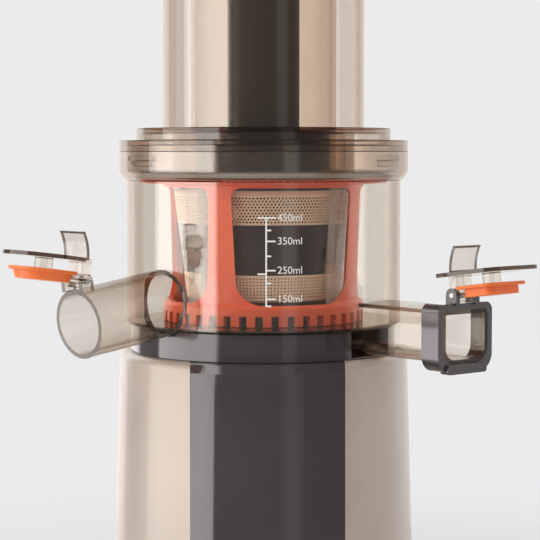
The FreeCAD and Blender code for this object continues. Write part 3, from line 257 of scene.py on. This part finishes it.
def solid(name, color, roughness, metallic=0.0, coat=0.0, spread=0.05, grain=400.0, bump=0.02,
          subsurface=0.0, specular=0.5, alpha=1.0):
    """Opaque moulded surface with slight colour drift, uneven gloss and a fine grain."""
    material, nodes, links, output = new_material(name)
    shader = nodes.new("ShaderNodeBsdfPrincipled")
    shader.inputs["Metallic"].default_value = metallic
    shader.inputs["Coat Weight"].default_value = coat
    shader.inputs["Coat Roughness"].default_value = COAT_ROUGHNESS
    shader.inputs["Specular IOR Level"].default_value = specular
    shader.inputs["Subsurface Weight"].default_value = subsurface
    shader.inputs["Subsurface Radius"].default_value = SUBSURFACE_RADIUS
    shader.inputs["Subsurface Scale"].default_value = 1.0
    shader.inputs["Alpha"].default_value = alpha
    add_drift(nodes, links, shader.inputs["Base Color"], color, spread, DRIFT_SCALE)
    wear = add_noise(nodes, links, WEAR_SCALE)
    gloss = add_range(nodes, links, wear.outputs["Fac"], {"To Min": roughness * (1.0 - WEAR_SHARE),
                                                          "To Max": roughness * (1.0 + WEAR_SHARE)})
    links.new(gloss.outputs["Result"], shader.inputs["Roughness"])
    if bump > 0:
        add_relief(nodes, links, shader, grain, 2.0, bump, GRAIN_DEPTH)
    links.new(shader.outputs["BSDF"], output.inputs["Surface"])
    return material


def clear(name, face, edge, haze, haze_share=0.012, face_gloss=0.045, density=30.0):
    """Tinted clear plastic: see-through with a darker rim, a glossy skin and a little haze. The darker rim is
    partly the tint over a longer path and partly painted shade for the dark lines of refraction.
    """
    material, nodes, links, output = new_material(name)
    weight = nodes.new("ShaderNodeLayerWeight")
    weight.inputs["Blend"].default_value = 0.5
    middle = tuple(0.5 * (a + b) for a, b in zip(face, edge))
    # The see-through colour darkens by the facing angle from face to edge: partly the tint over a longer
    # path, partly painted shade for refraction.
    tint_and_edge_shade = add_ramp(nodes, [(0.0, face), (0.55, shade(face, 0.97)), (0.86, middle), (0.96, edge)])
    links.new(weight.outputs["Facing"], tint_and_edge_shade.inputs["Fac"])
    through = nodes.new("ShaderNodeBsdfTransparent")
    links.new(tint_and_edge_shade.outputs["Color"], through.inputs["Color"])
    body = nodes.new("ShaderNodeBsdfDiffuse")
    add_drift(nodes, links, body.inputs["Color"], haze, HAZE_SPREAD, HAZE_SCALE)
    inner = mixed(nodes, links, through.outputs["BSDF"], body.outputs["BSDF"], haze_share)
    skin = nodes.new("ShaderNodeBsdfGlossy")
    skin.inputs["Roughness"].default_value = SKIN_ROUGHNESS
    skin.inputs["Color"].default_value = SKIN_COLOR
    add_relief(nodes, links, skin, RIPPLE_SCALE, 1.0, RIPPLE_STRENGTH, RIPPLE_DEPTH)
    steep = add_math(nodes, links, "POWER", weight.outputs["Facing"], GLANCING_POWER)
    share = add_range(nodes, links, steep, {"To Min": face_gloss, "To Max": GLANCING_GLOSS})
    whole = mixed(nodes, links, inner, skin.outputs["BSDF"], share.outputs["Result"])
    links.new(whole, output.inputs["Surface"])
    depth = nodes.new("ShaderNodeVolumeAbsorption")
    depth.inputs["Color"].default_value = ABSORB_COLOR
    depth.inputs["Density"].default_value = density
    links.new(depth.outputs["Volume"], output.inputs["Volume"])
    return material


# The _EDGE colours, and the second colours given to the spout and rim materials, are the see-through colours
# at glancing angles: partly the tint over a longer path, partly painted shade for refraction.
BOWL_FACE = (0.98, 0.965, 0.945, 1)
BOWL_EDGE = (0.36, 0.26, 0.20, 1)
TUBE_FACE = (0.97, 0.95, 0.925, 1)
TUBE_EDGE = (0.36, 0.26, 0.19, 1)
LID_EDGE = (0.20, 0.13, 0.10, 1)
PALE_HAZE = linear(205, 178, 150)
LID_HAZE = linear(120, 98, 80)

MATERIALS = {
    "champagne": solid("champagne", linear(184, 169, 158), 0.34, metallic=0.08, coat=0.2, bump=0.03,
                       grain=900.0),
    "dark_gloss": solid("dark_gloss", linear(66, 59, 61), 0.10, coat=0.5, spread=0.1, bump=0.0),
    "black_matte": solid("black_matte", linear(40, 39, 39), 0.55, bump=0.15),
    "black_rubber": solid("black_rubber", linear(34, 33, 33), 0.75, bump=0.25),
    "steel": solid("steel", linear(190, 190, 190), 0.28, metallic=1.0, bump=0.05),
    "motor_metal": solid("motor_metal", linear(120, 122, 126), 0.4, metallic=0.6),
    "board_green": solid("board_green", linear(30, 96, 60), 0.45),
    "grey_silicone": solid("grey_silicone", linear(188, 180, 170), 0.4, alpha=0.55, bump=0.05),
    "blade_silicone": solid("blade_silicone", linear(205, 196, 186), 0.35, alpha=0.32, bump=0.05),
    "orange_silicone": solid("orange_silicone", linear(240, 122, 58), 0.42, subsurface=0.25, bump=0.06),
    "grey_plastic": solid("grey_plastic", linear(150, 147, 144), 0.4),
    "dark_smoke": solid("dark_smoke", linear(38, 34, 35), 0.12, coat=0.4, spread=0.12, bump=0.0),
    "pusher_dark": solid("pusher_dark", linear(26, 23, 24), 0.5, specular=0.06, spread=0.1, bump=0.0),
    "mesh_metal": solid("mesh_metal", linear(253, 228, 200), 0.36, metallic=0.15, bump=0.1),
    "orange_plastic": solid("orange_plastic", linear(255, 110, 72), 0.34, subsurface=0.15, coat=0.1,
                            bump=0.02),
    "smoke_clear": clear("smoke_clear", BOWL_FACE, BOWL_EDGE, PALE_HAZE, face_gloss=0.062),
    "print_white": solid("print_white", linear(245, 243, 240), 0.45, bump=0.0, spread=0.01),
}
CHUTE_CLEAR = clear("chute_clear", TUBE_FACE, TUBE_EDGE, PALE_HAZE)
LID_CLEAR = clear("lid_clear", (0.95, 0.92, 0.89, 1), LID_EDGE, LID_HAZE)
# A dimmer copy of the lid's material, with less reflection and a slightly darker see-through colour: painted
# shade for the lid's neck
LID_NECK_SHADE = clear("lid_neck_shade", (0.92, 0.88, 0.84, 1), LID_EDGE, LID_HAZE, face_gloss=0.006)
TUBE_CLEAR = clear("tube_clear", TUBE_FACE, TUBE_EDGE, PALE_HAZE, face_gloss=0.006)
SPOUT_CLEAR = clear("spout_clear", (0.96, 0.94, 0.91, 1), (0.16, 0.10, 0.07, 1), linear(150, 125, 100),
                    density=38.0)
# Darker clear material for narrow rims and bevels: partly the tint seen along the wall, partly painted shade
# for the dark lines of refraction
RIM_TINT_AND_SHADE = clear("rim_tint_and_shade", (0.40, 0.34, 0.30, 1), (0.12, 0.09, 0.07, 1), linear(90, 72, 60),
                   haze_share=0.1)
STRAINER_SMOKE = solid("strainer_smoke", linear(52, 46, 48), 0.12, coat=0.4, alpha=0.94, bump=0.0)

# Looks that a node has in place of its slot's plain material, and those of them with dark rims or edges,
# which are partly the tint seen along the wall and partly painted shade for refraction
LOOKS = {
    "juicing_bowl": MATERIALS["smoke_clear"],
    "juice_spout": SPOUT_CLEAR,
    "pulp_channel": SPOUT_CLEAR,
    "juice_cap": SPOUT_CLEAR,
    "pulp_cap": SPOUT_CLEAR,
    "lid": LID_CLEAR,
    "feed_chute": CHUTE_CLEAR,
    "feed_tube": TUBE_CLEAR,
    "pusher": MATERIALS["pusher_dark"],
    "strainer_frame": STRAINER_SMOKE,
    "wiper_blades": MATERIALS["blade_silicone"],
}
DARK_RIMS = (SPOUT_CLEAR, MATERIALS["smoke_clear"])
DARK_EDGES = DARK_RIMS + (CHUTE_CLEAR, LID_CLEAR)

SLOT_OF = {row["node"]: row["material_slot"] for row in frame["record"]["subparts"]}
BODY_OF = {node: body for body, members in frame["record"]["behaviour"]["bodies"].items() for node in members}


# Mesh helpers

def new_mesh(name, shape):
    """The mesh of a bmesh, which is freed."""
    mesh = bpy.data.meshes.new(name)
    shape.to_mesh(mesh)
    shape.free()
    return mesh


def new_piece(name, mesh, material, body):
    piece = bpy.data.objects.new(name, mesh)
    bpy.context.scene.collection.objects.link(piece)
    mesh.materials.clear()
    mesh.materials.append(material)
    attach(piece, body)
    return piece


def soften(mesh):
    """Joins the facets, clears flat splits and marks the hard edges."""
    shape = bmesh.new()
    shape.from_mesh(mesh)
    bmesh.ops.remove_doubles(shape, verts=shape.verts, dist=WELD)
    bmesh.ops.dissolve_limit(shape, angle_limit=math.radians(FLAT_ANGLE), verts=shape.verts,
                             edges=shape.edges)
    smooth_angle = math.radians(SMOOTH_ANGLE)
    for face in shape.faces:
        face.smooth = True
    for edge in shape.edges:
        edge.smooth = len(edge.link_faces) == 2 and edge.calc_face_angle(0.0) < smooth_angle
    shape.to_mesh(mesh)
    shape.free()
    if "custom_normal" in mesh.attributes:
        mesh.attributes.remove(mesh.attributes["custom_normal"])


def mark_rims(mesh):
    """Gives a clear moulding's narrow rims, seen along its wall, the darker second material: partly the tint
    over that long path, partly painted shade for refraction.
    """
    shape = bmesh.new()
    shape.from_mesh(mesh)
    for face in shape.faces:
        sharp = sum(edge.calc_length() for edge in face.edges if not edge.smooth)
        if 2 * face.calc_area() < RIM_WIDTH * sharp and face.calc_center_median().z < BAYONET_Z:
            face.material_index = 1
    shape.to_mesh(mesh)
    shape.free()


def mark_neck(mesh):
    """Gives the lid's faces round its neck the third material, which shines less and is a little darker: a
    shaded copy of the lid's material, painted shade.
    """
    for face in mesh.polygons:
        if math.hypot(face.center.x, face.center.y) < LID_NECK_RADIUS:
            face.material_index = 2


def round_edges(piece, dark_edges):
    bevel = piece.modifiers.new("edge", "BEVEL")
    bevel.width = BEVEL_WIDTH
    bevel.segments = BEVEL_SEGMENTS
    bevel.limit_method = "ANGLE"
    bevel.angle_limit = math.radians(BEVEL_ANGLE)
    bevel.harden_normals = True
    bevel.use_clamp_overlap = True
    # The bevels of dark-edged clear mouldings take the darker second material, in part painted shade for
    # refraction.
    if dark_edges:
        bevel.material = 1


def dress(node):
    """The node's own shape with smooth shading and softened edges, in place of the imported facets."""
    mesh = frame["nodes"][node].data.copy()
    soften(mesh)
    slot = SLOT_OF[node]
    look = LOOKS.get(node)
    piece = new_piece(node + "_skin", mesh, look or MATERIALS[slot], BODY_OF[node])
    if look in DARK_EDGES:
        mesh.materials.append(RIM_TINT_AND_SHADE)
    if look in DARK_RIMS:
        mark_rims(mesh)
    # The lid's neck gets the dimmer copy of its material, painted shade.
    if look is LID_CLEAR:
        mesh.materials.append(LID_NECK_SHADE)
        mark_neck(mesh)
    if node not in NOT_ROUNDED:
        round_edges(piece, look in DARK_EDGES)
    even = piece.modifiers.new("even", "WEIGHTED_NORMAL")
    even.keep_sharp = True
    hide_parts(node)


# Strainer bands

def strainer_radius(z):
    share = (z - STRAINER_LOW[0]) / (STRAINER_TOP[0] - STRAINER_LOW[0])
    return STRAINER_LOW[1] + share * (STRAINER_TOP[1] - STRAINER_LOW[1])


def on_strainer(angle, z):
    radius = strainer_radius(z)
    return Vector((radius * math.cos(angle), radius * math.sin(angle), z))


def holed_cell(shape, angle, z, half_angle, half_z, hole_r):
    """One cell of sheet metal round an eight-sided hole."""
    radius = strainer_radius(z)
    rim = []
    hole = []
    for k in range(HOLE_SIDES):
        turn = math.radians(360 / HOLE_SIDES * k)
        square = max(abs(math.cos(turn)), abs(math.sin(turn)))
        rim.append(shape.verts.new(on_strainer(angle + half_angle * math.cos(turn) / square,
                                               z + half_z * math.sin(turn) / square)))
        hole.append(shape.verts.new(on_strainer(angle + hole_r / radius * math.cos(turn),
                                                z + hole_r * math.sin(turn))))
    for k in range(HOLE_SIDES):
        n = (k + 1) % HOLE_SIDES
        shape.faces.new((rim[k], rim[n], hole[n], hole[k]))


def plain_strip(shape, z_low, z_high, columns):
    low = [shape.verts.new(on_strainer(2 * math.pi * k / columns, z_low)) for k in range(columns)]
    high = [shape.verts.new(on_strainer(2 * math.pi * k / columns, z_high)) for k in range(columns)]
    for k in range(columns):
        n = (k + 1) % columns
        shape.faces.new((low[k], low[n], high[n], high[k]))


def perforated_band(node, z_range, zone, columns, rows, hole_r, staggered):
    """A conical metal band with a field of round holes between plain margins."""
    shape = bmesh.new()
    low, high = zone
    half_z = (high - low) / rows / 2
    half_angle = math.pi / columns
    for row in range(rows):
        shift = half_angle if staggered and row % 2 else 0.0
        z = low + half_z * (2 * row + 1)
        for column in range(columns):
            holed_cell(shape, 2 * half_angle * column + shift, z, half_angle, half_z, hole_r)
    plain_strip(shape, z_range[0], low, columns * 2)
    plain_strip(shape, high, z_range[1], columns * 2)
    bmesh.ops.remove_doubles(shape, verts=shape.verts, dist=CELL_WELD)
    mesh = new_mesh(node, shape)
    for face in mesh.polygons:
        face.use_smooth = True
    piece = new_piece(node + "_sheet", mesh, MATERIALS["mesh_metal"], BODY_OF[node])
    wall = piece.modifiers.new("wall", "SOLIDIFY")
    wall.thickness = SHEET_T
    wall.offset = -1.0
    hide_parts(node)


def seam_slit_shade():
    """Slits down the seams of the upper band, each a thin dark plate just proud of it; the dark colour is
    painted shade for the inside of the slit.
    """
    shape = bmesh.new()
    half_angle = SLIT_HALF_W / strainer_radius(UPPER_MESH[1])
    corners = [(-1, 0.0), (1, 0.0), (1, SLIT_H), (-1, SLIT_H)]
    for seam in (math.radians(-90 + SEAM_TURN), math.radians(90 + SEAM_TURN)):
        for k in range(SLIT_COUNT):
            z = UPPER_MESH[0] + SLIT_FIRST + SLIT_PITCH * k
            ring = []
            for lift in SLIT_LIFTS:
                for side, rise in corners:
                    spot = on_strainer(seam + side * half_angle, z + rise)
                    ring.append(shape.verts.new(spot + Vector((spot.x, spot.y, 0)).normalized() * lift))
            shape.faces.new(ring[3::-1])
            shape.faces.new(ring[4:])
            for a in range(4):
                b = (a + 1) % 4
                shape.faces.new((ring[a], ring[b], ring[4 + b], ring[4 + a]))
    # The plates take the dark plastic's colour as painted shade for the slits.
    new_piece("seam_slit_shade", new_mesh("seam_slit_shade", shape), MATERIALS["dark_smoke"], "bowl")


# Measuring scale

def wrap(mesh):
    """Bends a flat print, drawn in X and Z, round the front of the bowl."""
    radius = BOWL_RADIUS + PRINT_LIFT
    for vertex in mesh.vertices:
        angle = vertex.co.x / radius
        depth = radius + vertex.co.y
        vertex.co = (depth * math.sin(angle), -depth * math.cos(angle), vertex.co.z)


def flat_bar(shape, x_low, x_high, z_low, z_high):
    steps = max(1, int((x_high - x_low) / BEND_STEP))
    for k in range(steps):
        a = x_low + (x_high - x_low) * k / steps
        b = x_low + (x_high - x_low) * (k + 1) / steps
        corners = [(a, 0, z_low), (b, 0, z_low), (b, 0, z_high), (a, 0, z_high)]
        shape.faces.new([shape.verts.new(corner) for corner in corners])


def measuring_scale():
    """White line with long and short ticks and its numbers, printed on the bowl."""
    shape = bmesh.new()
    flat_bar(shape, SCALE_X - LINE_HALF, SCALE_X + LINE_HALF, SHORT_TICKS[-1] - LINE_HALF,
             LONG_TICKS[0] + LINE_HALF)
    for z in LONG_TICKS:
        flat_bar(shape, SCALE_X, SCALE_X + LONG_TICK_L, z - LINE_HALF, z + LINE_HALF)
    for z in SHORT_TICKS:
        flat_bar(shape, SCALE_X, SCALE_X + SHORT_TICK_L, z - LINE_HALF, z + LINE_HALF)
    for z in LEFT_TICKS:
        flat_bar(shape, SCALE_X - LEFT_TICK_L, SCALE_X, z - LINE_HALF, z + LINE_HALF)
    mesh = new_mesh("measuring_scale", shape)
    wrap(mesh)
    new_piece("measuring_scale", mesh, MATERIALS["print_white"], "bowl")
    for z, words in zip(LONG_TICKS, VOLUMES):
        scale_number(words, z)


def scale_number(words, z):
    curve = bpy.data.curves.new("number_" + words, "FONT")
    curve.body = words
    curve.size = NUMBER_SIZE
    curve.align_y = "CENTER"
    source = bpy.data.objects.new("number_source", curve)
    bpy.context.scene.collection.objects.link(source)
    bpy.context.view_layer.update()
    evaluated = source.evaluated_get(bpy.context.evaluated_depsgraph_get())
    mesh = bpy.data.meshes.new_from_object(evaluated)
    bpy.data.objects.remove(source)
    for vertex in mesh.vertices:
        vertex.co = (SCALE_X + NUMBER_FROM + vertex.co.x, 0.0, z + vertex.co.y)
    wrap(mesh)
    new_piece("number_" + words, mesh, MATERIALS["print_white"], "bowl")


# Stage, light and camera

def stage():
    """Round pale floor that takes the shadow and fades out before its edge."""
    shape = bmesh.new()
    bmesh.ops.create_circle(shape, cap_ends=True, radius=FLOOR_RADIUS, segments=FLOOR_SIDES)
    mesh = new_mesh("floor", shape)
    floor = bpy.data.objects.new("floor", mesh)
    bpy.context.scene.collection.objects.link(floor)
    material, nodes, links, output = new_material("floor_paint")
    paint = nodes.new("ShaderNodeBsdfDiffuse")
    paint.inputs["Color"].default_value = linear(FLOOR_LEVEL, FLOOR_LEVEL, FLOOR_LEVEL)
    place = nodes.new("ShaderNodeTexCoord")
    length = nodes.new("ShaderNodeVectorMath")
    length.operation = "LENGTH"
    links.new(place.outputs["Object"], length.inputs[0])
    fade = add_range(nodes, links, length.outputs["Value"],
                     {"From Min": FLOOR_FADE[0], "From Max": FLOOR_FADE[1]})
    fade.interpolation_type = "SMOOTHSTEP"
    beyond = nodes.new("ShaderNodeBsdfTransparent")
    whole = mixed(nodes, links, paint.outputs["BSDF"], beyond.outputs["BSDF"], fade.outputs["Result"])
    links.new(whole, output.inputs["Surface"])
    mesh.materials.append(material)


def studio_grey(value):
    """A brightness as a slightly warm colour for the studio's strength."""
    return tuple(value / BOX_STRENGTH * channel for channel in STUDIO_WARMTH) + (1.0,)


def studio_round(nodes, links):
    """What gloss sees: a bright box on the left, a faint strip and a dimmer box on the right, pale behind."""
    place = nodes.new("ShaderNodeTexCoord")
    split = nodes.new("ShaderNodeSeparateXYZ")
    links.new(place.outputs["Generated"], split.inputs[0])
    front = add_math(nodes, links, "MULTIPLY", split.outputs["Y"], -1.0)
    azimuth = add_math(nodes, links, "ARCTAN2", split.outputs["X"], front)
    turn = add_range(nodes, links, azimuth, {"From Min": -math.pi, "From Max": math.pi})
    ring = add_ramp(nodes, [((angle + 180) / 360.0, studio_grey(value)) for angle, value in STUDIO_RING])
    links.new(turn.outputs["Result"], ring.inputs["Fac"])
    height = add_range(nodes, links, split.outputs["Z"], {"From Min": -1.0})
    level = add_ramp(nodes, [(position, (value, value, value, 1)) for position, value in STUDIO_BAND])
    links.new(height.outputs["Result"], level.inputs["Fac"])
    mix = nodes.new("ShaderNodeMix")
    mix.data_type = "RGBA"
    mix.inputs["A"].default_value = studio_grey(STUDIO_REST)
    links.new(level.outputs["Color"], mix.inputs["Factor"])
    links.new(ring.outputs["Color"], mix.inputs["B"])
    studio = nodes.new("ShaderNodeBackground")
    studio.inputs["Strength"].default_value = BOX_STRENGTH
    links.new(mix.outputs["Result"], studio.inputs["Color"])
    return studio


def world_light():
    """Plain grey to the camera and through clear plastic, a studio to gloss, and a soft fill to the rest."""
    world = bpy.data.worlds.new("studio")
    world.use_nodes = True
    nodes = world.node_tree.nodes
    links = world.node_tree.links
    nodes.clear()
    output = nodes.new("ShaderNodeOutputWorld")
    plain = nodes.new("ShaderNodeBackground")
    plain.inputs["Color"].default_value = linear(BACKGROUND_LEVEL, BACKGROUND_LEVEL, BACKGROUND_LEVEL)
    plain.inputs["Strength"].default_value = 1.0
    fill = nodes.new("ShaderNodeBackground")
    fill.inputs["Color"].default_value = FILL_COLOR
    fill.inputs["Strength"].default_value = FILL_STRENGTH
    studio = studio_round(nodes, links)
    rays = nodes.new("ShaderNodeLightPath")
    seen = add_math(nodes, links, "MAXIMUM", rays.outputs["Is Camera Ray"],
                    rays.outputs["Is Transmission Ray"])
    straight = mixed(nodes, links, fill.outputs["Background"], plain.outputs["Background"], seen)
    mirrored = mixed(nodes, links, straight, studio.outputs["Background"], rays.outputs["Is Glossy Ray"])
    links.new(mirrored, output.inputs["Surface"])
    bpy.context.scene.world = world


def soft_box(name, azimuth, distance, height, width, tall, power):
    """A rectangular lamp that faces the object and isn't mirrored in it."""
    lamp = bpy.data.lights.new(name, "AREA")
    lamp.shape = "RECTANGLE"
    lamp.size = width
    lamp.size_y = tall
    lamp.energy = power
    holder = bpy.data.objects.new(name, lamp)
    bpy.context.scene.collection.objects.link(holder)
    turn = math.radians(azimuth)
    place = Vector((distance * math.sin(turn), -distance * math.cos(turn), height))
    holder.location = place
    holder.rotation_euler = (Vector((0, 0, LAMP_AIM_Z)) - place).to_track_quat("-Z", "Y").to_euler()
    holder.visible_glossy = False


def camera():
    turn = math.radians(CAMERA_TURN)
    right = Vector((math.cos(turn), -math.sin(turn), 0))
    back = Vector((-math.sin(turn), -math.cos(turn), 0))
    place = back * CAMERA_DISTANCE + Vector((0, 0, CAMERA_HEIGHT))
    drop = CAMERA_DISTANCE * math.tan(math.radians(CAMERA_PITCH))
    aim = right * AXIS_LEFT + Vector((0, 0, CAMERA_HEIGHT - drop))
    lens = bpy.data.cameras.new("camera")
    lens.lens = CAMERA_LENS
    lens.sensor_width = CAMERA_SENSOR
    lens.clip_start = CAMERA_CLIP
    holder = bpy.data.objects.new("camera", lens)
    holder.location = place
    holder.rotation_euler = (aim - place).to_track_quat("-Z", "Y").to_euler()
    bpy.context.scene.collection.objects.link(holder)
    bpy.context.scene.camera = holder


def main():
    for node in sorted(set(frame["nodes"]) - MADE_APART):
        dress(node)
    perforated_band("strainer_upper_mesh", UPPER_MESH, **UPPER_HOLES)
    perforated_band("strainer_lower_mesh", LOWER_MESH, **LOWER_HOLES)
    seam_slit_shade()
    measuring_scale()
    stage()
    world_light()
    for lamp in LAMPS:
        soft_box(*lamp)
    camera()
    bpy.context.scene.view_settings.view_transform = "Standard"
    bpy.context.scene.cycles.transparent_max_bounces = CLEAR_LAYERS


main()
